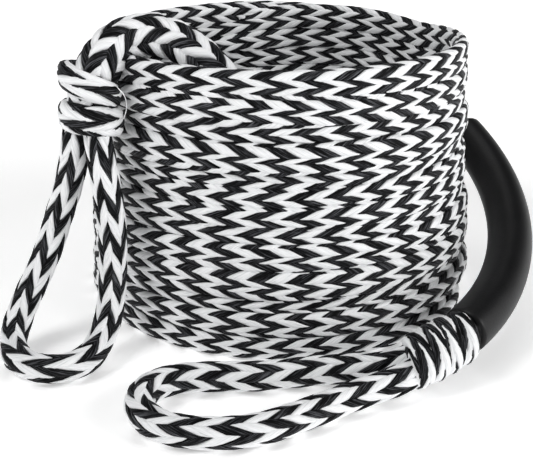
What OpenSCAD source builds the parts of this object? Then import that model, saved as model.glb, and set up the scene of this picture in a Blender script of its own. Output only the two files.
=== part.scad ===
// Coiled tow rope with a looped boat end and a foam-gripped handle end.
// One rope is wound into a single-layer upright coil. Its inner end rises from
// the bottom turn, goes over the rim and is wrapped and looped for the boat.
// Its outer end leaves the top turn, runs through a foam grip and is wrapped
// and looped for the hand. +Z is up, and the coil stands on the plane z = 0.

/* [Rope] */
// Diameter of the relaxed hollow-braid rope
rope_d = 17; // [16.5:0.1:17.2]
// Diameter where the rope's own tail is buried inside it
splice_d = 27; // [24:0.5:28]

/* [Coil] */
// Outer diameter of the bottom turn
coil_bottom_d = 262; // [256:1:264]
// Outer diameter of the top turn
coil_top_d = 238; // [236:1:242]
// Height of the coil
coil_h = 168; // [160:1:170]
// Number of turns
coil_turns = 13; // [12:1:14]
// Thickness of the coil's wall, where the rope is pressed flat
coil_wall = 13; // [12:0.5:14]

/* [Grip] */
// Outer diameter of the foam grip
grip_d = 28; // [27:0.5:28.5]
// Bore through the grip
grip_bore_d = 17.6; // [17.4:0.1:19]
// Radius of the curve that the grip is bent to
grip_bend_r = 180; // [179:1:181]
// Angle that the grip covers on that curve
grip_sweep = 69; // [64:1:69]

/* [Knots] */
// Diameter of the bundle of rope inside a knot
bundle_d = 28; // [26:1:29]
// Outer diameter of the wraps round the boat-end knot
boat_wrap_d = 40; // [38:1:40]
// Outer diameter of the wraps round the handle knot
handle_wrap_d = 34; // [33:0.5:34]
// Length of the boat-end knot
boat_knot_l = 38; // [36:1:40]
// Length of the handle knot
handle_knot_l = 38; // [36:1:39]
// Gap between one wrap and the next
wrap_gap = 1; // [0.5:0.5:2]

/* [Hidden] */

$fn = 96;
rope_r = rope_d / 2;
tube_sides = 12;
white = [0.86, 0.86, 0.84];
charcoal = [0.16, 0.17, 0.19];
foam = [0.07, 0.07, 0.08];

// The coil stands behind the middle, because both loops lie in front of it.
coil_at = [2, 46, 0];
turn_pitch = (coil_h - coil_wall) / (coil_turns - 1);
bottom_r = (coil_bottom_d - coil_wall) / 2;
top_r = (coil_top_d - coil_wall) / 2;
// How much each turn is pressed past its neighbour and flat on the ground.
turn_press = 0.6;

// Inner end: from the bottom turn, round the inside, up and over the rim.
boat_lead_route = [
    [112, -4, 9], [100, 50, 9], [74, 93, 9], [28, 116, 9], [-24, 110, 10],
    [-62, 78, 12], [-78, 33, 17], [-68, -8, 30], [-45, -33, 53], [-24, -43, 84],
    [-17, -45, 115], [-25, -42, 142], [-38, -34, 160], [-52, -24, 171],
    [-67, -18, 177], [-81, -17, 178], [-92, -20, 175], [-100, -28, 168], [-106, -37, 159]];
splice_starts = 7;
splice_full = 11;
boat_lead_r = [for (i = [0 : len(boat_lead_route) - 1])
    let (full = (i - splice_starts) / (splice_full - splice_starts))
    rope_r + (splice_d - rope_d) / 2 * max(0, min(1, full))];

// Boat knot, hung outside the wall, and the loop under it.
boat_knot_at = [-108.5, -43.2, 147];
boat_knot_tilt = [-8, 0, 0];
boat_loop_route = [
    [-117, -47, 118], [-121, -47, 101], [-130, -48, 76], [-138, -52, 54],
    [-148, -57, 34], [-155, -64, 18], [-156, -77, 10], [-150, -93, 9], [-138, -104, 9],
    [-125, -107, 9], [-113, -101, 9], [-106, -88, 10], [-102, -75, 16], [-99, -66, 28],
    [-97, -62, 48], [-96, -60, 72], [-98, -58, 98], [-101, -55, 118]];

// Outer end: off the top turn, outside the wall and down to the grip.
handle_lead_route = [
    [33, 159, 161], [62, 152, 152], [84, 147, 136], [101, 139, 121], [115, 129, 107],
    [125, 118.5, 96], [130.6, 110.3, 89.2]];

// The grip is bent round the coil's side, in a plane of its own.
grip_centre = [-24, 17.5, 88.5];
grip_turn = [18.5, 12.5, -2.5];
grip_from = -36.5;
// How far the rope runs on past the grip, into the handle knot.
core_run_on = 5;

// Handle knot, on the floor in front, and the loop beyond it.
handle_knot_at = [85.5, -107.5, 20.5];
handle_knot_turn = [0, 77, 30];
hand_loop_route = [
    [64.5, -126, 12.5], [43, -134, 10], [22, -146, 9], [1, -160, 9], [-18, -168, 9],
    [-40, -169, 9], [-59, -164, 9], [-72, -152, 10], [-74, -138, 11], [-66, -125, 11],
    [-52, -119, 11], [-33, -116, 10], [-12, -114, 9], [10, -110, 9], [28, -107, 9],
    [43, -107, 10], [55.5, -111, 13]];

function unit(v) = v / norm(v);
function tangent(p, i) = unit(p[min(i + 1, len(p) - 1)] - p[max(i - 1, 0)]);
function across(n, t) = unit(n - (n * t) * t);
// The side direction at each point, carried along the route without twist.
function sides_along(p, n, i = 0) = i == len(p) ? [] :
    let (m = across(n, tangent(p, i))) concat([m], sides_along(p, m, i + 1));

// Extra rings that close a free end with a dome centred on the route's end.
dome = [[0.5, 0.866], [0.87, 0.5], [0.98, 0.2]];
function domed(p, start, finish) = concat(
    start ? [for (k = [2 : -1 : 0]) p[0] - tangent(p, 0) * rope_r * dome[k][0]] : [],
    p,
    finish ? [for (k = [0 : 2]) p[len(p) - 1] + tangent(p, len(p) - 1) * rope_r * dome[k][0]] : []);
function domed_r(r, start, finish) = concat(
    start ? [for (k = [2 : -1 : 0]) r[0] * dome[k][1]] : [],
    r,
    finish ? [for (k = [0 : 2]) r[len(r) - 1] * dome[k][1]] : []);

module tube(route, radii, start_dome = false, end_dome = false) {
    p = domed(route, start_dome, end_dome);
    r = domed_r(radii, start_dome, end_dome);
    side = sides_along(p, [0.1, 0.3, 1]);
    n = tube_sides;
    points = [for (i = [0 : len(p) - 1]) let (t = tangent(p, i), b = cross(t, side[i]))
        for (k = [0 : n - 1]) p[i] + r[i] * (cos(360 * k / n) * side[i] + sin(360 * k / n) * b)];
    walls = [for (i = [0 : len(p) - 2]) for (k = [0 : n - 1]) let (j = (k + 1) % n)
        each [[i * n + k, (i + 1) * n + k, (i + 1) * n + j],
              [i * n + k, (i + 1) * n + j, i * n + j]]];
    caps = [[for (k = [0 : n - 1]) k], [for (k = [n - 1 : -1 : 0]) (len(p) - 1) * n + k]];
    polyhedron(points, concat(walls, caps));
}

function even(route) = [for (i = route) rope_r];

// A ring of rope laid tight round a knot's bundle, about the local z axis.
wrap_bite = 1;
wrap_edge = 2.5;
module wrap(z, length, outer_d) {
    thick = (outer_d - bundle_d) / 2;
    rotate_extrude() translate([bundle_d / 2, z - length / 2]) union() {
        translate([-wrap_bite, 0]) square([thick + wrap_bite - wrap_edge, length]);
        translate([-wrap_bite, wrap_edge]) square([thick + wrap_bite, length - 2 * wrap_edge]);
        for (end = [wrap_edge, length - wrap_edge]) translate([thick - wrap_edge, end]) circle(wrap_edge);
    }
}

module on_boat_knot() { translate(boat_knot_at) rotate(boat_knot_tilt) children(); }
module on_handle_knot() { translate(handle_knot_at) rotate(handle_knot_turn) children(); }
module on_grip() { translate(grip_centre) rotate(grip_turn) children(); }

module main_coil() {
    color(white) translate(coil_at) intersection() {
        rotate_extrude() union() {
            for (turn = [0 : coil_turns - 1]) let (up = turn / (coil_turns - 1))
                translate([bottom_r + (top_r - bottom_r) * up, coil_wall / 2 + turn * turn_pitch])
                    circle(coil_wall / 2 + turn_press);
        }
        translate([0, 0, coil_h / 2]) cylinder(h = coil_h, r = coil_bottom_d, center = true);
    }
}

module boat_end_lead() { color(white) tube(boat_lead_route, boat_lead_r); }

module boat_knot_core() {
    color(charcoal) on_boat_knot()
        cylinder(h = boat_knot_l, d = bundle_d, center = true);
}

boat_wrap_l = (boat_knot_l - wrap_gap) / 2;
module boat_knot_upper_wrap() {
    color(white) on_boat_knot() wrap((boat_wrap_l + wrap_gap) / 2, boat_wrap_l, boat_wrap_d);
}
module boat_knot_lower_wrap() {
    color(charcoal) on_boat_knot() wrap(-(boat_wrap_l + wrap_gap) / 2, boat_wrap_l, boat_wrap_d);
}

// Heat-sealed end of the tail, tucked in beside the bundle.
module tail_tip(length) {
    cylinder(h = length, r = rope_r * 0.55);
    translate([0, 0, length]) sphere(r = rope_r * 0.55);
}
module boat_tail_tip() {
    color(charcoal) on_boat_knot()
        translate([3, 11, -boat_knot_l / 2]) rotate([180, 0, 0]) tail_tip(5);
}

module boat_end_loop() {
    color(white) tube(boat_loop_route, even(boat_loop_route), true, true);
}

module handle_lead() {
    color(white) tube(handle_lead_route, even(handle_lead_route), false, true);
}

module grip_core_rope() {
    color(charcoal) on_grip() rotate([0, 0, grip_from - core_run_on])
        rotate_extrude(angle = grip_sweep + core_run_on) translate([grip_bend_r, 0]) circle(rope_r);
}

module grip_sleeve() {
    color(foam) on_grip() difference() {
        rotate([0, 0, grip_from])
            rotate_extrude(angle = grip_sweep) translate([grip_bend_r, 0]) circle(d = grip_d);
        rotate([0, 0, grip_from - 1])
            rotate_extrude(angle = grip_sweep + 2) translate([grip_bend_r, 0]) circle(d = grip_bore_d);
    }
}

module handle_knot_core() {
    color(white) on_handle_knot()
        cylinder(h = handle_knot_l, d = bundle_d, center = true);
}

handle_wrap_l = (handle_knot_l - 3 * wrap_gap) / 4;
module handle_wrap(place) {
    on_handle_knot() wrap(place * (handle_wrap_l + wrap_gap), handle_wrap_l, handle_wrap_d);
}
module handle_knot_grip_wrap() { color(charcoal) handle_wrap(1.5); }
module handle_knot_second_wrap() { color(white) handle_wrap(0.5); }
module handle_knot_third_wrap() { color(charcoal) handle_wrap(-0.5); }
module handle_knot_loop_wrap() { color(white) handle_wrap(-1.5); }

module hand_loop() { color(white) tube(hand_loop_route, even(hand_loop_route), true, true); }

main_coil();
boat_end_lead();
boat_knot_core();
boat_knot_upper_wrap();
boat_knot_lower_wrap();
boat_tail_tip();
boat_end_loop();
handle_lead();
grip_core_rope();
grip_sleeve();
handle_knot_core();
handle_knot_grip_wrap();
handle_knot_second_wrap();
handle_knot_third_wrap();
handle_knot_loop_wrap();
hand_loop();
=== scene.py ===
"""Coiled tow rope with a looped boat end and a foam-gripped handle end.

The rope is a hollow braid of sixteen flat yarns, eight each way, over two and under two.
Each length of rope is a Rope: a smooth centreline with a section and a braid phase along it.
"""
import math

import bpy
import numpy as np
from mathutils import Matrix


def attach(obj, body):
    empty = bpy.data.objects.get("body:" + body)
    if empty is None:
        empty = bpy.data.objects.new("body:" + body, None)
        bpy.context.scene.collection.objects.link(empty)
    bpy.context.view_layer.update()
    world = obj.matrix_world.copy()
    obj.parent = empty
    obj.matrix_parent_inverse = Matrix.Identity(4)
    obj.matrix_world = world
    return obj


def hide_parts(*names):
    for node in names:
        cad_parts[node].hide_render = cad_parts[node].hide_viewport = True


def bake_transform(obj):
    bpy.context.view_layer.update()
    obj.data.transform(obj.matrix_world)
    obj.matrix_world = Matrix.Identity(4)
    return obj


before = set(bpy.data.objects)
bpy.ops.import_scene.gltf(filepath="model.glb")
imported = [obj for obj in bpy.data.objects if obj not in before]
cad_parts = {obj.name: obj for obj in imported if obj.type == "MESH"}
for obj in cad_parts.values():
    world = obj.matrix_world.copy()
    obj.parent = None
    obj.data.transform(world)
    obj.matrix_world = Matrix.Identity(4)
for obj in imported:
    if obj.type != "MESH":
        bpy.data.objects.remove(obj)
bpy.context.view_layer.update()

# ---------------------------------------------------------------- camera

CAMERA_AT = (-0.007, -0.582, 0.2875)
CAMERA_PITCH_DOWN = 22.23
CAMERA_LENS = 65.85


def make_camera():
    data = bpy.data.cameras.new("camera")
    data.lens = CAMERA_LENS
    data.sensor_width = 36
    camera = bpy.data.objects.new("camera", data)
    camera.location = CAMERA_AT
    camera.rotation_euler = (math.radians(90 - CAMERA_PITCH_DOWN), 0, 0)
    bpy.context.scene.collection.objects.link(camera)
    bpy.context.scene.camera = camera


make_camera()

# ---------------------------------------------------------------- routes, in metres

ROPE_D = 0.017
SPLICE_D = 0.027
COIL_AT = np.array([0.002, 0.046, 0.0])
COIL_BOTTOM_R = 0.131
COIL_TAPER = 0.012
COIL_H = 0.168

# Height of each turn in front, from the top turn to the bottom one. A low turn is pressed inwards.
TURN_HEIGHTS = [
    0.014, 0.015, 0.011, 0.0155, 0.0095, 0.011, 0.012, 0.010, 0.0145, 0.018, 0.0095, 0.013, 0.015]
# Turns are counted from the front centre; the coil starts and ends between two of them.
COIL_START = -0.50
COIL_END = 12.16
COIL_SPLIT = 5.55

BOAT_LEAD_ROUTE = [
    (0.112, -0.004, 0.009), (0.100, 0.050, 0.009), (0.074, 0.093, 0.009), (0.028, 0.116, 0.009),
    (-0.024, 0.110, 0.010), (-0.062, 0.078, 0.012), (-0.078, 0.033, 0.017), (-0.068, -0.008, 0.030),
    (-0.045, -0.033, 0.053), (-0.024, -0.043, 0.084), (-0.017, -0.045, 0.115), (-0.025, -0.042, 0.142),
    (-0.038, -0.034, 0.160), (-0.052, -0.024, 0.171), (-0.067, -0.018, 0.177), (-0.081, -0.017, 0.178),
    (-0.092, -0.020, 0.175), (-0.100, -0.028, 0.168), (-0.105, -0.037, 0.158), (-0.107, -0.041, 0.148)]
SPLICE_FROM = (-0.068, -0.008, 0.030)
SPLICE_CUT = (-0.045, -0.033, 0.053)
SPLICE_FULL = (-0.017, -0.045, 0.115)

HANDLE_LEAD_ROUTE = [
    (0.128, 0.115, 0.093), (0.117, 0.128, 0.105), (0.103, 0.139, 0.119), (0.087, 0.148, 0.132),
    (0.066, 0.156, 0.147), (0.036, 0.163, 0.158)]

BOAT_LOOP_ROUTE = [
    (-0.113, -0.043, 0.142), (-0.116, -0.044, 0.130), (-0.117, -0.046, 0.118), (-0.121, -0.047, 0.101),
    (-0.130, -0.048, 0.076), (-0.138, -0.052, 0.054), (-0.148, -0.057, 0.034), (-0.155, -0.064, 0.018),
    (-0.156, -0.077, 0.010), (-0.150, -0.093, 0.009), (-0.138, -0.104, 0.009), (-0.125, -0.107, 0.009),
    (-0.113, -0.101, 0.009), (-0.106, -0.088, 0.010), (-0.102, -0.075, 0.016), (-0.099, -0.066, 0.028),
    (-0.097, -0.062, 0.048), (-0.096, -0.060, 0.072), (-0.098, -0.058, 0.098), (-0.101, -0.055, 0.118),
    (-0.103, -0.049, 0.130), (-0.106, -0.045, 0.142)]

HAND_LOOP_ROUTE = [
    (0.090, -0.107, 0.019), (0.077, -0.117, 0.0155), (0.064, -0.1245, 0.0125), (0.043, -0.133, 0.010),
    (0.022, -0.146, 0.009), (0.001, -0.160, 0.009), (-0.018, -0.168, 0.009), (-0.040, -0.169, 0.009),
    (-0.059, -0.164, 0.009), (-0.072, -0.152, 0.010), (-0.074, -0.138, 0.011), (-0.066, -0.125, 0.011),
    (-0.052, -0.119, 0.011), (-0.033, -0.116, 0.010), (-0.012, -0.114, 0.009), (0.010, -0.110, 0.009),
    (0.028, -0.107, 0.009), (0.043, -0.107, 0.010), (0.056, -0.112, 0.013), (0.070, -0.109, 0.017),
    (0.084, -0.102, 0.020)]

BOAT_KNOT_AT = np.array([-0.107, -0.042, 0.146])
BOAT_KNOT_TILT = -8
HANDLE_KNOT_AT = np.array([0.0872, -0.1065, 0.0212])
HANDLE_KNOT_TURN = (0, 77, 30)

GRIP_CENTRE = np.array([-0.024, 0.0175, 0.0885])
GRIP_TURN = (18.5, 12.5, -2.5)
GRIP_R = 0.180
GRIP_FROM = -36.5
GRIP_TO = 32.5
GRIP_D = 0.028
GRIP_BORE_D = 0.0176

# ---------------------------------------------------------------- small maths


def unit(v):
    return v / np.maximum(np.linalg.norm(v, axis=-1, keepdims=True), 1e-12)


def square_to(v, along):
    """The part of v that is square to the unit direction along, as a unit vector."""
    return unit(v - (v * along).sum(axis=-1, keepdims=True) * along)


def smoothstep(x, start, end):
    t = np.clip((np.asarray(x, float) - start) / (end - start), 0, 1)
    return t * t * (3 - 2 * t)


def turned(v, degrees):
    """v turned about X, then Y, then Z."""
    x, y, z = (math.radians(a) for a in degrees)
    about_x = np.array([[1, 0, 0], [0, math.cos(x), -math.sin(x)], [0, math.sin(x), math.cos(x)]])
    about_y = np.array([[math.cos(y), 0, math.sin(y)], [0, 1, 0], [-math.sin(y), 0, math.cos(y)]])
    about_z = np.array([[math.cos(z), -math.sin(z), 0], [math.sin(z), math.cos(z), 0], [0, 0, 1]])
    return np.asarray(v, float) @ (about_z @ about_y @ about_x).T


def wobble(s, seed, long=0.16):
    """A smooth wandering number between about -1 and 1 along s."""
    rng = np.random.default_rng(seed)
    total = np.zeros_like(s)
    for k in range(4):
        wave = long * (0.55 + 0.4 * k) * (0.8 + 0.4 * rng.random())
        total += np.sin(2 * np.pi * (s / wave + rng.random()))
    return total / 2.6


CURVE_SPAN = 24


def catmull_rom(points):
    """Points on a centripetal Catmull-Rom curve through the given ones, CURVE_SPAN to each span."""
    p = np.array(points, float)
    p = np.vstack([2 * p[0] - p[1], p, 2 * p[-1] - p[-2]])
    curve = []
    for i in range(1, len(p) - 2):
        p0, p1, p2, p3 = p[i - 1: i + 3]
        t0 = 0
        t1 = t0 + math.sqrt(np.linalg.norm(p1 - p0))
        t2 = t1 + math.sqrt(np.linalg.norm(p2 - p1))
        t3 = t2 + math.sqrt(np.linalg.norm(p3 - p2))
        t = np.linspace(t1, t2, CURVE_SPAN, endpoint=False)[:, None]
        a1 = (t1 - t) / (t1 - t0) * p0 + (t - t0) / (t1 - t0) * p1
        a2 = (t2 - t) / (t2 - t1) * p1 + (t - t1) / (t2 - t1) * p2
        a3 = (t3 - t) / (t3 - t2) * p2 + (t - t2) / (t3 - t2) * p3
        b1 = (t2 - t) / (t2 - t0) * a1 + (t - t0) / (t2 - t0) * a2
        b2 = (t3 - t) / (t3 - t1) * a2 + (t - t1) / (t3 - t1) * a3
        curve.append((t2 - t) / (t2 - t1) * b1 + (t - t1) / (t2 - t1) * b2)
    return np.vstack(curve + [p[-2:-1]])


def lengths_along(line):
    return np.concatenate([[0], np.cumsum(np.linalg.norm(np.diff(line, axis=0), axis=1))])


def softened(line, spread):
    """The line blurred over a few of its points, with its ends kept."""
    reach = 3 * spread
    weight = np.exp(-0.5 * (np.arange(-reach, reach + 1) / spread) ** 2)
    weight = weight / weight.sum()
    before = 2 * line[0] - line[reach:0:-1]
    after = 2 * line[-1] - line[-2:-reach - 2:-1]
    padded = np.vstack([before, line, after])
    return np.stack([np.convolve(padded[:, k], weight, "valid") for k in range(3)], axis=1)


LINE_STEP = 0.001


def evenly(line, soften=4):
    """The line with its points LINE_STEP apart, softened over a few of them."""
    for _ in range(2):
        along = lengths_along(line)
        at = np.linspace(0, along[-1], int(round(along[-1] / LINE_STEP)) + 1)
        line = np.stack([np.interp(at, along, line[:, k]) for k in range(3)], axis=1)
        if soften:
            line = softened(line, soften)
    return line


def nearest_s(line, point):
    """How far along the line its nearest place to the point is."""
    near = int(np.argmin(np.linalg.norm(line - np.array(point), axis=1)))
    return lengths_along(line)[near]


# ---------------------------------------------------------------- rope

# A yarn goes over two others and under two, so the braid repeats every four steps, which is one period.
STEPS = 4
# The period is this many diameters unless it is given, and it varies a little along the rope.
PERIOD_PER_D = 1.25
PERIOD_SPREAD = 0.03
PERIOD_WAVE = 0.2


class Rope:
    """A centreline, the two half-widths of the section along it, and the braid's phase.

    Side one is the direction that half_one is measured in, side two the other. square is the power of
    the section's curve: 2 is an ellipse, and more is nearer a rectangle. upright is a mask of the points
    that have a given side one, and those directions. each_way is the number of yarns that turn each way.
    """

    def __init__(self, line, side, half_one, half_two, period=None, roll=0.0, square=2.1, seed=1,
                 upright=None, each_way=8):
        self.line = line
        self.each_way = each_way
        self.s = lengths_along(line)
        self.long = self.s[-1]
        self.tangent = unit(np.gradient(line, axis=0))
        self.one = self.carried(np.array(side, float), upright)
        self.two = np.cross(self.tangent, self.one)
        size = np.ones(len(line))
        self.half_one = half_one * size
        self.half_two = half_two * size
        self.square = square * size
        self.roll = roll * size
        if period is None:
            period = (self.half_one + self.half_two) * PERIOD_PER_D
        period = period * size * (1 + PERIOD_SPREAD * wobble(self.s, seed + 70, PERIOD_WAVE))
        per_metre = STEPS / period
        steps = 0.5 * (per_metre[1:] + per_metre[:-1]) * np.diff(self.s)
        self.phase = np.concatenate([[0], np.cumsum(steps)])

    def carried(self, side, upright):
        """Side one at each point: from upright where that is given, else carried along without twist."""
        out = np.zeros_like(self.line)
        given = np.zeros(len(self.line), bool)
        if upright is not None:
            given, direction = upright
            out[given] = square_to(direction[given], self.tangent[given])
        if not given.any():
            out[0] = square_to(side, self.tangent[0])
            given[0] = True
        first = int(np.argmax(given))
        last = len(given) - 1 - int(np.argmax(given[::-1]))
        for i in range(first - 1, -1, -1):
            out[i] = square_to(out[i + 1], self.tangent[i])
        for i in range(last + 1, len(given)):
            out[i] = square_to(out[i - 1], self.tangent[i])
        return out

    def pick(self, values, s):
        """A value, or a vector, at each distance s along the rope."""
        place = np.clip(np.interp(s, self.s, np.arange(len(self.s))), 0, len(self.s) - 1.000001)
        low = place.astype(int)
        part = place - low
        if values.ndim == 2:
            part = part[..., None]
        return values[low] * (1 - part) + values[low + 1] * part

    def point(self, s):
        """The centreline's point at distance s."""
        return tuple(self.pick(self.line, np.array([s]))[0])

    def surface(self, s, angle, inward):
        """Points on the rope's surface at distance s and angle, sunk inward by some metres."""
        one = self.pick(self.one, s)
        two = self.pick(self.two, s)
        a = self.pick(self.half_one, s)
        b = self.pick(self.half_two, s)
        n = self.pick(self.square, s)
        c = np.cos(angle)
        d = np.sin(angle)
        radius = ((np.abs(c) / a) ** n + (np.abs(d) / b) ** n) ** (-1 / n)
        radius = (radius - inward)[..., None]
        return self.pick(self.line, s) + radius * (c[..., None] * one + d[..., None] * two)


# Each yarn has a section at these phases about the middle of every float.
FLOAT_PLACES = [-1.25, -0.98, -0.72, -0.35, 0.35, 0.72, 0.98, 1.25]
# How flat the top of a float is: 1 is a plain wave.
FLOAT_FLATNESS = 1.6
# A section's points across the yarn, and how far its edges sink in yarn thicknesses.
ACROSS = np.array([-1, -0.6, 0, 0.6, 1])
EDGE_SINK = 0.55
EDGE_CURVE = 2.4
# Half a yarn's width in braid steps, and its thickness as a part of the rope's.
YARN_HALF = 1.06
YARN_THICK = 0.085
# How much the yarns differ: in tilt, in width from one to the next, and in width along each.
YARN_TILT = 0.10
WIDTH_SPREAD = 0.05
WIDTH_SWING = 0.09
WIDTH_WAVES = 1.9
YARN_SEED = 1000


def float_centre(direction):
    """Where a yarn of either direction is in the middle of a float, in braid steps."""
    return 0.5 if direction > 0 else 2.5


def yarn_phases(direction, start, phase_from, phase_to):
    """Phases of a yarn's sections, from the first past phase_from to the first past phase_to."""
    # The yarn is at 2 * start + direction * phase, in braid steps.
    middle = (float_centre(direction) - 2 * start) * direction
    first = int(math.floor((phase_from - middle) / STEPS)) - 1
    last = int(math.ceil((phase_to - middle) / STEPS)) + 1
    phases = [middle + STEPS * k + place for k in range(first, last + 1) for place in FLOAT_PLACES]
    begin = int(np.searchsorted(phases, phase_from))
    end = int(np.searchsorted(phases, phase_to))
    return np.array(phases[begin:end + 1])


def yarn(rope, direction, start, phase_from, phase_to):
    """The points of one yarn, section by section, and the fibre coordinates of each."""
    phases = yarn_phases(direction, start, phase_from, phase_to)
    place = 2 * start + direction * phases
    wave = np.cos(2 * np.pi * (place - float_centre(direction)) / STEPS)
    rise = np.clip(FLOAT_FLATNESS * wave, -1, 1)
    rng = np.random.default_rng(YARN_SEED + 16 * start + (8 if direction > 0 else 0))
    tilt = YARN_TILT * rng.uniform(-1, 1)
    own_width = WIDTH_SPREAD * rng.uniform(-1, 1)
    swing = WIDTH_SWING * np.sin(WIDTH_WAVES * phases + rng.uniform(0, 6.28))
    wide = YARN_HALF * (1 + own_width + swing)
    # The last point of each section is the middle of its underside.
    across = np.append(ACROSS, 0)
    sink = np.append(EDGE_SINK * np.abs(ACROSS) ** EDGE_CURVE, 1)
    s = np.interp(phases[:, None] + wide[:, None] * across, rope.phase, rope.s)
    thick = YARN_THICK * rope.pick(rope.half_one + rope.half_two, s)
    inward = thick * (0.5 * (1 - rise[:, None]) + sink + tilt * across)
    angle = place[:, None] * math.pi / rope.each_way + rope.pick(rope.roll, s)
    points = rope.surface(s, angle, inward)
    along = 1000 * np.interp(phases, rope.phase, rope.s)[:, None]
    same = np.ones_like(s)
    fibre = np.stack([along * same, across * same, (start + 8.0 * direction) * same], axis=-1)
    return points, fibre


def strip_faces(rings, sides, flip, offset):
    """Loop indices and loop counts of a closed strip of several sections."""
    j = np.arange(rings - 1)[:, None]
    k = np.arange(sides)[None, :]
    n = (k + 1) % sides
    corners = [j * sides + k, j * sides + n, (j + 1) * sides + n, (j + 1) * sides + k]
    quad = np.stack(corners, axis=-1).reshape(-1, 4)
    first = np.arange(sides)
    last = (rings - 1) * sides + np.arange(sides)
    if flip:
        quad = quad[:, ::-1]
        last = last[::-1]
    else:
        first = first[::-1]
    loops = np.concatenate([quad.ravel(), first, last]) + offset
    counts = np.concatenate([np.full(len(quad), 4), [sides, sides]])
    return loops, counts


def mesh_object(name, points, loops, counts, fibre=None):
    mesh = bpy.data.meshes.new(name)
    mesh.vertices.add(len(points))
    mesh.vertices.foreach_set("co", np.asarray(points, np.float32).ravel())
    mesh.loops.add(len(loops))
    mesh.loops.foreach_set("vertex_index", np.asarray(loops, np.int32))
    mesh.polygons.add(len(counts))
    starts = np.concatenate([[0], np.cumsum(counts)[:-1]])
    mesh.polygons.foreach_set("loop_start", np.asarray(starts, np.int32))
    mesh.polygons.foreach_set("loop_total", np.asarray(counts, np.int32))
    mesh.polygons.foreach_set("use_smooth", np.ones(len(counts), bool))
    if fibre is not None:
        layer = mesh.attributes.new("fibre", "FLOAT_VECTOR", "POINT")
        layer.data.foreach_set("vector", np.asarray(fibre, np.float32).ravel())
    mesh.update(calc_edges=True)
    mesh.validate()
    piece = bpy.data.objects.new(name, mesh)
    bpy.context.scene.collection.objects.link(piece)
    return piece


def strips_object(name, strips):
    """One mesh object from closed strips, each a grid of points, their fibre coordinates and a flip."""
    loops = []
    counts = []
    total = 0
    for points, _, flip in strips:
        strip_loops, strip_counts = strip_faces(points.shape[0], points.shape[1], flip, total)
        loops.append(strip_loops)
        counts.append(strip_counts)
        total += points.shape[0] * points.shape[1]
    points = np.vstack([strip[0].reshape(-1, 3) for strip in strips])
    fibre = np.vstack([strip[1].reshape(-1, 3) for strip in strips])
    return mesh_object(name, points, np.concatenate(loops), np.concatenate(counts), fibre)


def is_white(direction, start):
    return start % 2 == (0 if direction > 0 else 1)


def yarn_strips(rope, white, phase_from, phase_to):
    """All the white or all the black yarns of a stretch of rope."""
    strips = []
    for direction in (1, -1):
        for start in range(rope.each_way):
            if is_white(direction, start) == white:
                points, fibre = yarn(rope, direction, start, phase_from, phase_to)
                strips.append((points, fibre, direction > 0))
    return strips


def braid(name, rope, s_from, s_to, body):
    """The white and the black yarns of a stretch of rope, as two pieces on one body, or, when given two
    bodies, on neither, with their place baked into the mesh.
    """
    phase_from, phase_to = np.interp([s_from, s_to], rope.s, rope.phase)
    out = []
    for colour, slot, material in (("white", "rope_white", WHITE), ("black", "rope_charcoal", BLACK)):
        strips = yarn_strips(rope, colour == "white", phase_from, phase_to)
        piece = strips_object(f"{name}_{colour}", strips)
        piece.data.materials.append(material)
        if isinstance(body, str):
            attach(piece, body)
        else:
            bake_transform(piece)
        out.append(piece)
    return out


# The yarns end on a slant, so they run a little past the end of their stretch.
YARN_OVERRUN = 0.004
PATH_STEP = 0.005


def path_of(rope, s_from, s_to):
    """The centreline of a stretch, with its overrun."""
    s_to = min(rope.long, s_to + YARN_OVERRUN)
    n = max(2, int(round((s_to - s_from) / PATH_STEP)) + 1)
    return [tuple(p) for p in rope.pick(rope.line, np.linspace(s_from, s_to, n))]


def declare_cord(rope, start, end, exit_point):
    path_of(rope, start, end)


# ---------------------------------------------------------------- materials


def node_material(name):
    material = bpy.data.materials.new(name)
    material.use_nodes = True
    nodes = material.node_tree.nodes
    return material, nodes, material.node_tree.links, nodes["Principled BSDF"]


def node_with(nodes, kind, **values):
    """A new node with some of its inputs set; an underscore stands for a space in their names."""
    node = nodes.new(kind)
    for name, value in values.items():
        node.inputs[name.replace("_", " ")].default_value = value
    return node


def ramp_node(nodes, stops):
    ramp = nodes.new("ShaderNodeValToRGB")
    elements = ramp.color_ramp.elements
    for element, (place, colour) in zip(elements, (stops[0], stops[-1])):
        element.position = place
        element.color = (*colour, 1)
    for place, colour in stops[1:-1]:
        elements.new(place).color = (*colour, 1)
    return ramp


def fibre_material(name, stops, roughness, bump, filaments, specular):
    """Flat yarns of fine filaments: streaks along the yarn in colour, gloss and height."""
    material, nodes, links, shader = node_material(name)
    fibre = nodes.new("ShaderNodeAttribute")
    fibre.attribute_name = "fibre"
    stretch = nodes.new("ShaderNodeVectorMath")
    stretch.operation = "MULTIPLY"
    stretch.inputs[1].default_value = (0.09, filaments, 7.3)
    links.new(fibre.outputs["Vector"], stretch.inputs[0])
    streaks = node_with(nodes, "ShaderNodeTexNoise", Scale=1, Detail=3, Roughness=0.65, Distortion=0.4)
    links.new(stretch.outputs[0], streaks.inputs["Vector"])
    ramp = ramp_node(nodes, stops)
    links.new(streaks.outputs["Fac"], ramp.inputs["Fac"])
    links.new(ramp.outputs["Color"], shader.inputs["Base Color"])
    gloss = node_with(nodes, "ShaderNodeMapRange", From_Min=0.3, From_Max=0.7, To_Min=roughness[0],
                      To_Max=roughness[1])
    links.new(streaks.outputs["Fac"], gloss.inputs["Value"])
    links.new(gloss.outputs["Result"], shader.inputs["Roughness"])
    raised = node_with(nodes, "ShaderNodeBump", Strength=bump, Distance=0.0003)
    links.new(streaks.outputs["Fac"], raised.inputs["Height"])
    links.new(raised.outputs["Normal"], shader.inputs["Normal"])
    shader.inputs["Specular IOR Level"].default_value = specular
    return material


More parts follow.
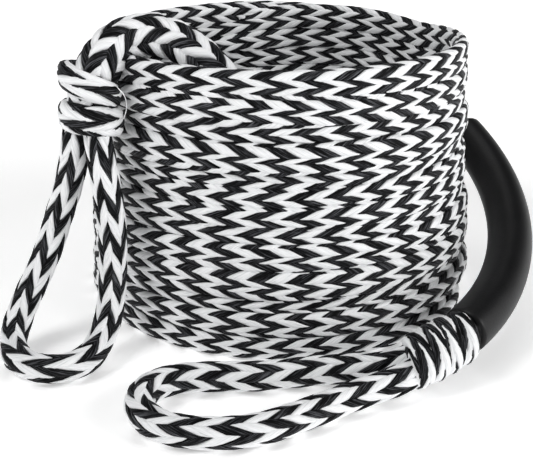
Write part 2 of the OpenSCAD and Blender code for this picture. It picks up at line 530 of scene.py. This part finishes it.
def foam_material():
    """Matte closed-cell foam with fine pores."""
    material, nodes, links, shader = node_material("grip_foam")
    place = nodes.new("ShaderNodeTexCoord")
    pores = node_with(nodes, "ShaderNodeTexNoise", Scale=900, Detail=4)
    links.new(place.outputs["Object"], pores.inputs["Vector"])
    patches = node_with(nodes, "ShaderNodeTexNoise", Scale=60, Detail=3)
    links.new(place.outputs["Object"], patches.inputs["Vector"])
    mix = nodes.new("ShaderNodeMath")
    mix.operation = "MULTIPLY"
    links.new(pores.outputs["Fac"], mix.inputs[0])
    links.new(patches.outputs["Fac"], mix.inputs[1])
    ramp = ramp_node(nodes, [(0.1, (0.0020, 0.0020, 0.0023)), (0.45, (0.0080, 0.0080, 0.0090))])
    links.new(mix.outputs[0], ramp.inputs["Fac"])
    links.new(ramp.outputs["Color"], shader.inputs["Base Color"])
    raised = node_with(nodes, "ShaderNodeBump", Strength=0.25, Distance=0.0003)
    links.new(pores.outputs["Fac"], raised.inputs["Height"])
    links.new(raised.outputs["Normal"], shader.inputs["Normal"])
    shader.inputs["Roughness"].default_value = 0.42
    shader.inputs["Specular IOR Level"].default_value = 0.24
    return material


WHITE = fibre_material(
    "rope_white", [(0.25, (0.60, 0.61, 0.62)), (0.45, (0.87, 0.88, 0.89)), (0.65, (0.97, 0.97, 0.98))],
    roughness=(0.50, 0.34), bump=0.45, filaments=5.0, specular=0.45)
BLACK = fibre_material(
    "rope_charcoal",
    [(0.42, (0.0004, 0.0004, 0.0005)), (0.52, (0.0055, 0.0058, 0.0068)), (0.66, (0.108, 0.110, 0.120))],
    roughness=(0.60, 0.42), bump=0.8, filaments=6.0, specular=0.08)
FOAM = foam_material()

# ---------------------------------------------------------------- the coil

# Half the rope's height in the coil is half its turn's, and a bit that is pressed past its neighbours.
PRESSED_PAST = 0.0018
HALF_UP_LIMITS = (0.0069, 0.0096)
# A flatter turn stands further out, so the two halves have about the same sum everywhere.
HALVES_SUM = 0.0138
HALF_OUT_LIMITS = (0.0047, 0.0062)
# Turns lower than this are pressed inwards, by this much of what they lack.
FULL_TURN = 0.0135
PRESSED_IN = 0.9
# The bottom turn leaves inwards between these turn numbers.
LAST_TURN_LEAVES = (12.19, 12.34)
# There are twelve turns at the right and the back right, so each is a little taller there.
RIGHT_STRETCH = 0.062
BACK_STRETCH = 0.036
RIGHT_FROM = (0.20, 0.32)
BACK_FROM = (0.32, 0.43)
STRETCH_ENDS = (0.44, 0.66)
# The first half turn lies flat on top.
TOP_START_Z = 0.1612
# The rope's outer end crosses outside the upper turns at the back right, where they give way to it.
CROSSING_ANGLE = 72
CROSSING_SPREAD = 18
CROSSING_HEIGHTS = (0.135, 0.155)
CROSSING_DEPTH = 0.006
CROSSING_TURNS = 0.12
RADIUS_WOBBLE = 0.0007
POINTS_PER_TURN = 240


def turn_height(v):
    """Height of the turn at turn number v."""
    low = np.clip(np.floor(v), 0, len(TURN_HEIGHTS) - 1).astype(int)
    high = np.minimum(low + 1, len(TURN_HEIGHTS) - 1)
    part = smoothstep(np.clip(v, 0, None) - low, 0, 1)
    heights = np.array(TURN_HEIGHTS)
    return heights[low] * (1 - part) + heights[high] * part


def coil_stack(v):
    """Height of the rope's middle above the ground at turn number v, resting on the turns below it."""
    below = np.zeros_like(v)
    for j in range(1, len(TURN_HEIGHTS)):
        still_there = 1 - smoothstep(v + j, *LAST_TURN_LEAVES)
        below += still_there * turn_height(v + j)
    part = v - np.floor(v)
    taller = RIGHT_STRETCH * smoothstep(part, *RIGHT_FROM) + BACK_STRETCH * smoothstep(part, *BACK_FROM)
    stretch = 1 + taller * (1 - smoothstep(part, *STRETCH_ENDS))
    z = stretch * (below + 0.5 * turn_height(v))
    return np.where(v < 0, np.minimum(z, TOP_START_Z), z)


def coil_half_up(height):
    return np.clip(0.5 * height + PRESSED_PAST, *HALF_UP_LIMITS)


def coil_half_out(height):
    return np.clip(HALVES_SUM - coil_half_up(height), *HALF_OUT_LIMITS)


def coil_turn_numbers():
    return np.arange(COIL_START, COIL_END, 1 / POINTS_PER_TURN)


def coil_line():
    """The coil's centreline, and its turn's height and its own height at each point."""
    v = coil_turn_numbers()
    height = turn_height(v)
    z = coil_stack(v)
    pressed_in = np.maximum(0, FULL_TURN - height) * PRESSED_IN
    radius = COIL_BOTTOM_R - COIL_TAPER * z / COIL_H - coil_half_out(height) - pressed_in
    radius += RADIUS_WOBBLE * wobble(v, 5, 0.8)
    quarter = v + 0.75
    past = (quarter - np.round(quarter)) * 360 - CROSSING_ANGLE
    crossing = np.exp(-(past / CROSSING_SPREAD) ** 2) * smoothstep(z, *CROSSING_HEIGHTS) * (v > 0)
    radius -= CROSSING_DEPTH * crossing
    radius += CROSSING_DEPTH * (1 - smoothstep(v, COIL_START, COIL_START + CROSSING_TURNS))
    angle = 2 * np.pi * quarter
    points = np.stack([radius * np.cos(angle), radius * np.sin(angle), z], axis=1) + COIL_AT
    return points, height, z


# ---------------------------------------------------------------- the one long rope

# Where the rope runs inside the grip, as angles on the grip's curve.
LEAD_IN_GRIP = (23, 26.5, 30, GRIP_TO)
# The leads join the coil this many of its points in from its ends.
JOIN = 7
# Over these lengths the section changes between round and pressed, and narrows into the boat knot.
PRESS_LENGTH = 0.06
KNOT_ENTRY = 0.016
KNOT_NARROWING = 0.25
# The side direction is kept upright in the coil, apart from this length at either end.
UPRIGHT_MARGIN = 0.02
FLOOR_GAP = 0.0002
# The section is nearly an ellipse in the leads, and this much squarer in the coil.
LEAD_SQUARE = 2.05
PRESSED_SQUARE = 0.7
COIL_PERIOD = 0.0215
LEAD_PERIOD = 0.0207
SPLICE_PERIOD = 0.0200


def grip_point(angle):
    a = math.radians(angle)
    return GRIP_CENTRE + turned((GRIP_R * math.cos(a), GRIP_R * math.sin(a), 0), GRIP_TURN)


def long_line(coil):
    """The centreline, and how far along it each point of the coil is, from one join to the other."""
    in_grip = [grip_point(a) for a in LEAD_IN_GRIP]
    lead = catmull_rom(np.vstack([in_grip, HANDLE_LEAD_ROUTE, coil[JOIN - 1:JOIN + 1]]))[:-CURVE_SPAN]
    tail = catmull_rom(np.vstack([coil[-JOIN - 1:-JOIN + 1], BOAT_LEAD_ROUTE]))[CURVE_SPAN:]
    raw = np.vstack([lead, coil[JOIN:-JOIN], tail])
    line = evenly(raw, soften=5)
    raw_s = lengths_along(raw)
    raw_s = raw_s * lengths_along(line)[-1] / raw_s[-1]
    # One more than the coil's own points: the last is where the coil ends.
    return line, raw_s[len(lead): len(lead) + len(coil) - 2 * JOIN + 1]


def long_section(line, s, coil_s, height, z):
    """The two half-widths, the period and the squareness along the line: round outside the coil."""
    inside = smoothstep(s, coil_s[0], coil_s[0] + PRESS_LENGTH)
    inside = inside * (1 - smoothstep(s, coil_s[-1] - PRESS_LENGTH, coil_s[-1]))
    turn = np.interp(s, coil_s[:-1], height[JOIN:-JOIN])
    above_floor = np.interp(s, coil_s[:-1], z[JOIN:-JOIN])
    half_up = np.minimum(coil_half_up(turn), above_floor - FLOOR_GAP)
    half_out = coil_half_out(turn)
    full = smoothstep(s, nearest_s(line, SPLICE_FROM), nearest_s(line, SPLICE_FULL))
    free = ROPE_D / 2 + full * (SPLICE_D - ROPE_D) / 2
    free = free * (1 - KNOT_NARROWING * smoothstep(s, s[-1] - KNOT_ENTRY, s[-1]))
    half_one = np.minimum(inside * half_up + (1 - inside) * free, line[:, 2] - FLOOR_GAP)
    half_two = inside * half_out + (1 - inside) * free
    # The splice is swollen by the tail inside it, so its yarns lie steeper over nearly the same period.
    period = COIL_PERIOD * inside + (1 - inside) * (LEAD_PERIOD + (SPLICE_PERIOD - LEAD_PERIOD) * full)
    return half_one, half_two, period, LEAD_SQUARE + PRESSED_SQUARE * inside


def long_rope():
    """The rope from inside the grip, round the coil and over the rim to the boat knot.

    Also how far along it the coil starts, is split into two pieces, and ends.
    """
    coil, height, z = coil_line()
    line, coil_s = long_line(coil)
    s = lengths_along(line)
    half_one, half_two, period, square = long_section(line, s, coil_s, height, z)
    up = np.zeros_like(line)
    up[:, 2] = 1
    in_coil = (s > coil_s[0] + UPRIGHT_MARGIN) & (s < coil_s[-1] - UPRIGHT_MARGIN)
    rope = Rope(line, (0, 0, 1), half_one, half_two, period=period, roll=0.9 * wobble(s, 9, 0.55),
                square=square, seed=3, upright=(in_coil, up))
    split = float(np.interp(COIL_SPLIT, coil_turn_numbers()[JOIN:-JOIN], coil_s[:-1]))
    return rope, coil_s[0], split, coil_s[-1]


LONG, COIL_FIRST, COIL_MIDDLE, COIL_LAST = long_rope()
SPLICE_S = nearest_s(LONG.line, SPLICE_CUT)
# A bend is two bodies, and the places where a piece leaves the first and is wholly with the second.
HANDLE_SWING_BEND = ("coil", "handle", (0.112, 0.132, 0.110), (0.136, 0.100, 0.085))


def make_handle_lead():
    lead = braid("handle_lead", LONG, 0.0, COIL_FIRST, HANDLE_SWING_BEND)
    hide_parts("handle_lead")
    declare_cord(LONG, 0.0, COIL_FIRST, tuple(grip_point(GRIP_TO)))


def make_coil():
    upper = braid("coil_upper", LONG, COIL_FIRST, COIL_MIDDLE, "coil")
    lower = braid("coil_lower", LONG, COIL_MIDDLE, COIL_LAST, "coil")
    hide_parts("main_coil")
    for pieces, start, end in ((upper, COIL_FIRST, COIL_MIDDLE), (lower, COIL_MIDDLE, COIL_LAST)):
        declare_cord(LONG, start, end, LONG.point(start))


def make_boat_lead():
    lead = braid("boat_lead", LONG, COIL_LAST, SPLICE_S, "coil")
    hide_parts("boat_end_lead")
    declare_cord(LONG, COIL_LAST, SPLICE_S, LONG.point(COIL_LAST))
    splice = braid("boat_splice", LONG, SPLICE_S, LONG.long, "coil")
    declare_cord(LONG, SPLICE_S, LONG.long, LONG.point(SPLICE_S))


make_handle_lead()
make_coil()
make_boat_lead()

# ---------------------------------------------------------------- loops

# Each end of a loop is pressed in its knot over this length, by this part of its width.
PRESSED_LENGTH = 0.025
PRESSED_PART = 0.12
BOAT_LOOP_BEND = ("coil", "boat_loop", (-0.110, -0.045, 0.134), (-0.109, -0.052, 0.102))
HAND_LOOP_BEND = ("handle", "loop", (0.073, -0.111, 0.016), (0.050, -0.125, 0.012))


def loop_rope(route, side, seed, roll, period):
    line = evenly(catmull_rom(route))
    s = lengths_along(line)
    pressed = smoothstep(s, PRESSED_LENGTH, 0) + smoothstep(s, s[-1] - PRESSED_LENGTH, s[-1])
    half = ROPE_D / 2 * (1 - PRESSED_PART * pressed)
    roll = roll + 0.5 * wobble(s, seed, 0.25)
    return Rope(line, side, half, half * 0.98, period=period, roll=roll, seed=seed)


def make_loop(name, node, rope, exit_point, bend):
    pieces = braid(name, rope, 0, rope.long, bend)
    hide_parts(node)
    declare_cord(rope, 0, rope.long, exit_point)


BOAT_LOOP = loop_rope(BOAT_LOOP_ROUTE, (1, 0, 0), seed=21, roll=0.2, period=0.0255)
HAND_LOOP = loop_rope(HAND_LOOP_ROUTE, (0, 0, 1), seed=22, roll=0.0, period=0.0235)
make_loop("boat_loop", "boat_end_loop", BOAT_LOOP, BOAT_LOOP_ROUTE[0], BOAT_LOOP_BEND)
make_loop("hand_loop", "hand_loop", HAND_LOOP, HAND_LOOP_ROUTE[0], HAND_LOOP_BEND)

# ---------------------------------------------------------------- knots

# A wrap is a helix round its knot's own axis. Its ends are tucked in over part of a turn.
HELIX_POINTS_PER_TURN = 48
TUCK = 0.006
TUCK_TURNS = 0.14
WRAP_SQUARE = 2.4
WRAP_YARNS_EACH_WAY = 6
BOAT_UPPER_WRAP = {
    "turns": 1.06, "height": 0.006, "middle": 0.0094, "radius": 0.0136, "barrel": 0, "first_angle": 80,
    "lean": (0.36, 0.36), "lean_to": 0, "half_along": 0.0078, "half_out": 0.0052, "seed": 31,
    "period": 0.040}
BOAT_LOWER_WRAP = {
    "turns": 1.06, "height": 0.005, "middle": -0.0094, "radius": 0.0142, "barrel": 0, "first_angle": 76,
    "lean": (0.08, 0.08), "lean_to": 0, "half_along": 0.0088, "half_out": 0.0054, "seed": 35,
    "period": 0.030}
HANDLE_WRAP = {
    "turns": 4.1, "height": 0.0385, "middle": 0.0005, "radius": 0.0119, "barrel": 0.14, "first_angle": 72,
    "lean": (-0.06, 0.30), "lean_to": -90, "half_along": 0.0070, "half_out": 0.0051, "seed": 32,
    "period": 0.036}
# The bundle of rope inside each knot.
BOAT_CORE = {"half_length": 0.0165, "half": 0.0132, "seed": 33, "period": 0.014}
HANDLE_CORE = {"half_length": 0.0195, "half": 0.0118, "seed": 34, "period": 0.026}


def boat_knot_place(local):
    return BOAT_KNOT_AT + turned(local, (BOAT_KNOT_TILT, 0, 0))


def handle_knot_place(local):
    return HANDLE_KNOT_AT + turned(local, HANDLE_KNOT_TURN)


def helix(place, wrap):
    """Points of a wrap round a knot's own axis, going down it, with both ends tucked inwards."""
    t = np.linspace(0, 1, int(wrap["turns"] * HELIX_POINTS_PER_TURN) + 1)
    angle = math.radians(wrap["first_angle"]) + 2 * np.pi * wrap["turns"] * t
    from_end = np.minimum(t, 1 - t) * wrap["turns"]
    r = wrap["radius"] * (1 - wrap["barrel"] * np.abs(2 * t - 1) ** 3)
    r = r - TUCK * (1 - smoothstep(from_end, 0, TUCK_TURNS))
    # The wrap leans down the knot towards one side of it, from the first slope to the second.
    slope = wrap["lean"][0] + (wrap["lean"][1] - wrap["lean"][0]) * t
    lean = slope * r * np.cos(angle - math.radians(wrap["lean_to"]))
    z = wrap["middle"] + wrap["height"] * (0.5 - t) - lean
    return place(np.stack([r * np.cos(angle), r * np.sin(angle), z], axis=1))


def wrap_rope(place, wrap):
    line = evenly(helix(place, wrap), soften=3)
    axis = place(np.array([0, 0, 1.0])) - place(np.zeros(3))
    upright = (np.ones(len(line), bool), np.tile(axis, (len(line), 1)))
    roll = 0.5 * wobble(lengths_along(line), wrap["seed"], 0.12)
    return Rope(line, axis, wrap["half_along"], wrap["half_out"], period=wrap["period"], roll=roll,
                square=WRAP_SQUARE, seed=wrap["seed"], upright=upright, each_way=WRAP_YARNS_EACH_WAY)


def make_turns(rope, body, nodes):
    """The turns of a wrap; each stands in for a node."""
    for i, node in enumerate(nodes):
        start = rope.long * i / len(nodes)
        end = rope.long * (i + 1) / len(nodes)
        pieces = braid(node.replace("_wrap", "_turn"), rope, start, end, body)
        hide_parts(node)


def core_rope(place, core):
    """A short straight rope with rounded ends, along the knot's axis."""
    top = place(np.array([0, 0, core["half_length"]]))
    bottom = place(np.array([0, 0, -core["half_length"]]))
    line = evenly(np.linspace(top, bottom, 40), soften=0)
    s = lengths_along(line)
    half = core["half"] * np.sqrt(np.clip(1 - (2 * s / s[-1] - 1) ** 8, 0.05, 1))
    return Rope(line, (1, 0.2, 0), half, half, period=core["period"], seed=core["seed"])


def make_core(name, rope, body):
    pieces = braid(name + "_bundle", rope, 0, rope.long, body)
    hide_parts(name + "_core")


make_turns(wrap_rope(boat_knot_place, BOAT_UPPER_WRAP), "coil", ["boat_knot_upper_wrap"])
make_turns(wrap_rope(boat_knot_place, BOAT_LOWER_WRAP), "coil", ["boat_knot_lower_wrap"])
make_core("boat_knot", core_rope(boat_knot_place, BOAT_CORE), "coil")
make_turns(wrap_rope(handle_knot_place, HANDLE_WRAP), "handle",
           ["handle_knot_grip_wrap", "handle_knot_second_wrap", "handle_knot_third_wrap",
            "handle_knot_loop_wrap"])
make_core("handle_knot", core_rope(handle_knot_place, HANDLE_CORE), "handle")

# ---------------------------------------------------------------- small pieces at the boat knot

FILAMENT_ROUTES = [
    [(-0.0890, -0.0575, 0.1580), (-0.0850, -0.0600, 0.1540), (-0.0838, -0.0605, 0.1480),
     (-0.0855, -0.0590, 0.1415)],
    [(-0.0885, -0.0570, 0.1570), (-0.0845, -0.0590, 0.1520), (-0.0842, -0.0595, 0.1460),
     (-0.0862, -0.0580, 0.1400)]]
FILAMENT_HALF = 0.0002
FILAMENT_SIDES = 6
# The tail's route in the knot's own frame, and its half-width, which closes towards its end.
TAIL_ROUTE = [(0.003, 0.011, -0.012), (0.003, 0.011, -0.020), (0.003, 0.011, -0.0305)]
TAIL_HALF = 0.0046
TAIL_ROUNDING = 0.004
TAIL_CLOSED_PAST = 0.0008


def filament_strip(route, number):
    strand = Rope(evenly(catmull_rom(route), soften=0), (1, 0, 0), FILAMENT_HALF, FILAMENT_HALF)
    s = strand.s[:, None] * np.ones(FILAMENT_SIDES)
    turn = 2 * np.pi * np.arange(FILAMENT_SIDES) / FILAMENT_SIDES
    points = strand.surface(s, turn * np.ones_like(s), np.zeros_like(s))
    fibre = np.stack([s * 1000, np.full_like(s, 0.3), np.full_like(s, number)], axis=-1)
    return points, fibre, True


def make_filaments():
    """Two filaments that have worked loose beside the boat knot."""
    strips = [filament_strip(route, number) for number, route in enumerate(FILAMENT_ROUTES)]
    piece = strips_object("loose_filaments", strips)
    piece.data.materials.append(WHITE)
    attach(piece, "coil")


def make_tail():
    """The rope's own end, tucked in beside the bundle."""
    line = evenly(boat_knot_place(np.array(TAIL_ROUTE)), soften=0)
    s = lengths_along(line)
    closing = smoothstep(s, s[-1] - TAIL_ROUNDING, s[-1] + TAIL_CLOSED_PAST)
    half = TAIL_HALF * np.sqrt(np.clip(1 - closing ** 2, 0.04, 1))
    rope = Rope(line, (1, 0, 0), half, half, period=0.011, seed=40)
    pieces = braid("boat_tail", rope, 0, s[-1], "coil")
    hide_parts("boat_tail_tip")


make_filaments()
make_tail()

# ---------------------------------------------------------------- grip

GRIP_SIDES = 64
# The edge is more rounded at the upper mouth than at the knot.
UPPER_ROUNDING = 0.0045
LOWER_ROUNDING = 0.0018
# The bore widens by the lip between these two depths inside each end.
MOUTH_LIP = 0.0004
LIP_AT = 0.0006
BORE_AT = 0.0016
# Where the rope inside the grip starts and ends, as angles on the grip's curve.
CORE_FROM = 23
CORE_TO = -41
CORE_CLEARANCE = 0.0002


def grip_rings():
    """Angle and radius of each ring of the sleeve: along the outside, then back through the bore."""
    outer = GRIP_D / 2
    bore = GRIP_BORE_D / 2
    degree = math.degrees(1 / GRIP_R)
    quarter = np.linspace(0, np.pi / 2, 7)
    rings = [(GRIP_FROM + LOWER_ROUNDING * (1 - math.sin(q)) * degree,
              outer - LOWER_ROUNDING * (1 - math.cos(q))) for q in quarter[::-1]]
    straight = np.linspace(GRIP_FROM + LOWER_ROUNDING * degree, GRIP_TO - UPPER_ROUNDING * degree, 90)
    rings += [(a, outer) for a in straight[1:-1]]
    rings += [(GRIP_TO - UPPER_ROUNDING * (1 - math.sin(q)) * degree,
               outer - UPPER_ROUNDING * (1 - math.cos(q))) for q in quarter]
    rings += [(GRIP_TO - LIP_AT * degree, bore + MOUTH_LIP), (GRIP_TO - BORE_AT * degree, bore)]
    rings += [(a, bore) for a in np.linspace(GRIP_TO - 4, GRIP_FROM + 4, 24)]
    rings += [(GRIP_FROM + BORE_AT * degree, bore), (GRIP_FROM + LIP_AT * degree, bore + MOUTH_LIP)]
    return rings


def grip_ring_points(angle, radius):
    a = math.radians(angle)
    outward = turned((math.cos(a), math.sin(a), 0), GRIP_TURN)
    normal = turned((0, 0, 1), GRIP_TURN)
    turn = 2 * np.pi * np.arange(GRIP_SIDES)[:, None] / GRIP_SIDES
    return grip_point(angle) + radius * (np.cos(turn) * outward + np.sin(turn) * normal)


def make_grip():
    """The foam sleeve: a bent tube with rounded ends and its bore."""
    rings = grip_rings()
    points = [grip_ring_points(angle, radius) for angle, radius in rings]
    loops = []
    for j in range(len(rings)):
        i = (j + 1) % len(rings)
        for k in range(GRIP_SIDES):
            m = (k + 1) % GRIP_SIDES
            loops += [j * GRIP_SIDES + k, i * GRIP_SIDES + k, i * GRIP_SIDES + m, j * GRIP_SIDES + m]
    counts = [4] * (len(rings) * GRIP_SIDES)
    piece = mesh_object("grip_foam", np.vstack(points), loops, counts)
    piece.data.materials.append(FOAM)
    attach(piece, "handle")
    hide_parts("grip_sleeve")


def make_grip_rope():
    line = evenly(np.array([grip_point(a) for a in np.linspace(CORE_FROM, CORE_TO, 60)]), soften=0)
    half = ROPE_D / 2 - CORE_CLEARANCE
    rope = Rope(line, (0, 0, 1), half, half, seed=50)
    pieces = braid("grip_rope", rope, 0, rope.long, "handle")
    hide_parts("grip_core_rope")


make_grip()
make_grip_rope()

# ---------------------------------------------------------------- stage

FLOOR_HALF = 20.0
FLOOR_Z = -0.0002
LIGHT_AIM = (0, 0, 0.08)
LIGHTS = {
    "key": {"at": (-1.15, -0.65, 1.45), "size": 0.8, "power": 14.5},
    "fill": {"at": (1.4, -0.6, 0.7), "size": 1.0, "power": 15},
    "top": {"at": (0.1, 0.3, 1.6), "size": 1.2, "power": 5}}


def floor_material():
    """Matte white that glows a little, more so away from the rope, so that it fades to white."""
    material, nodes, links, shader = node_material("floor")
    shader.inputs["Base Color"].default_value = (0.97, 0.97, 0.97, 1)
    shader.inputs["Emission Color"].default_value = (1, 1, 1, 1)
    shader.inputs["Roughness"].default_value = 0.9
    shader.inputs["Specular IOR Level"].default_value = 0.0
    place = nodes.new("ShaderNodeTexCoord")
    away = nodes.new("ShaderNodeVectorMath")
    away.operation = "LENGTH"
    links.new(place.outputs["Object"], away.inputs[0])
    glow = node_with(nodes, "ShaderNodeMapRange", From_Min=0.28, From_Max=1.1, To_Min=0.36, To_Max=0.85)
    links.new(away.outputs["Value"], glow.inputs["Value"])
    links.new(glow.outputs["Result"], shader.inputs["Emission Strength"])
    return material


def make_floor():
    h = FLOOR_HALF
    floor = mesh_object("floor", [(-h, -h, 0), (h, -h, 0), (h, h, 0), (-h, h, 0)], [0, 1, 2, 3], [4])
    floor.location.z = FLOOR_Z
    floor.data.materials.append(floor_material())


def make_world():
    """A room that is white at the horizon and dimmer overhead."""
    world = bpy.data.worlds.new("studio")
    world.use_nodes = True
    nodes = world.node_tree.nodes
    links = world.node_tree.links
    nodes["Background"].inputs["Color"].default_value = (1, 1, 1, 1)
    direction = nodes.new("ShaderNodeTexCoord")
    parts = nodes.new("ShaderNodeSeparateXYZ")
    links.new(direction.outputs["Generated"], parts.inputs[0])
    strength = node_with(nodes, "ShaderNodeMapRange", From_Min=0.0, From_Max=0.45, To_Min=1.0,
                         To_Max=0.05)
    links.new(parts.outputs["Z"], strength.inputs["Value"])
    links.new(strength.outputs["Result"], nodes["Background"].inputs["Strength"])
    bpy.context.scene.world = world


def make_light(name, at, size, power):
    data = bpy.data.lights.new(name, "AREA")
    data.shape = "DISK"
    data.size = size
    data.energy = power
    light = bpy.data.objects.new(name, data)
    light.location = at
    aim = np.array(LIGHT_AIM) - np.array(at)
    down_tilt = math.atan2(np.hypot(aim[0], aim[1]), -aim[2])
    light.rotation_euler = (down_tilt, 0, math.atan2(-aim[0], aim[1]))
    bpy.context.scene.collection.objects.link(light)


make_floor()
make_world()
for light_name, light in LIGHTS.items():
    make_light(light_name, **light)
bpy.context.scene.view_settings.view_transform = "Standard"
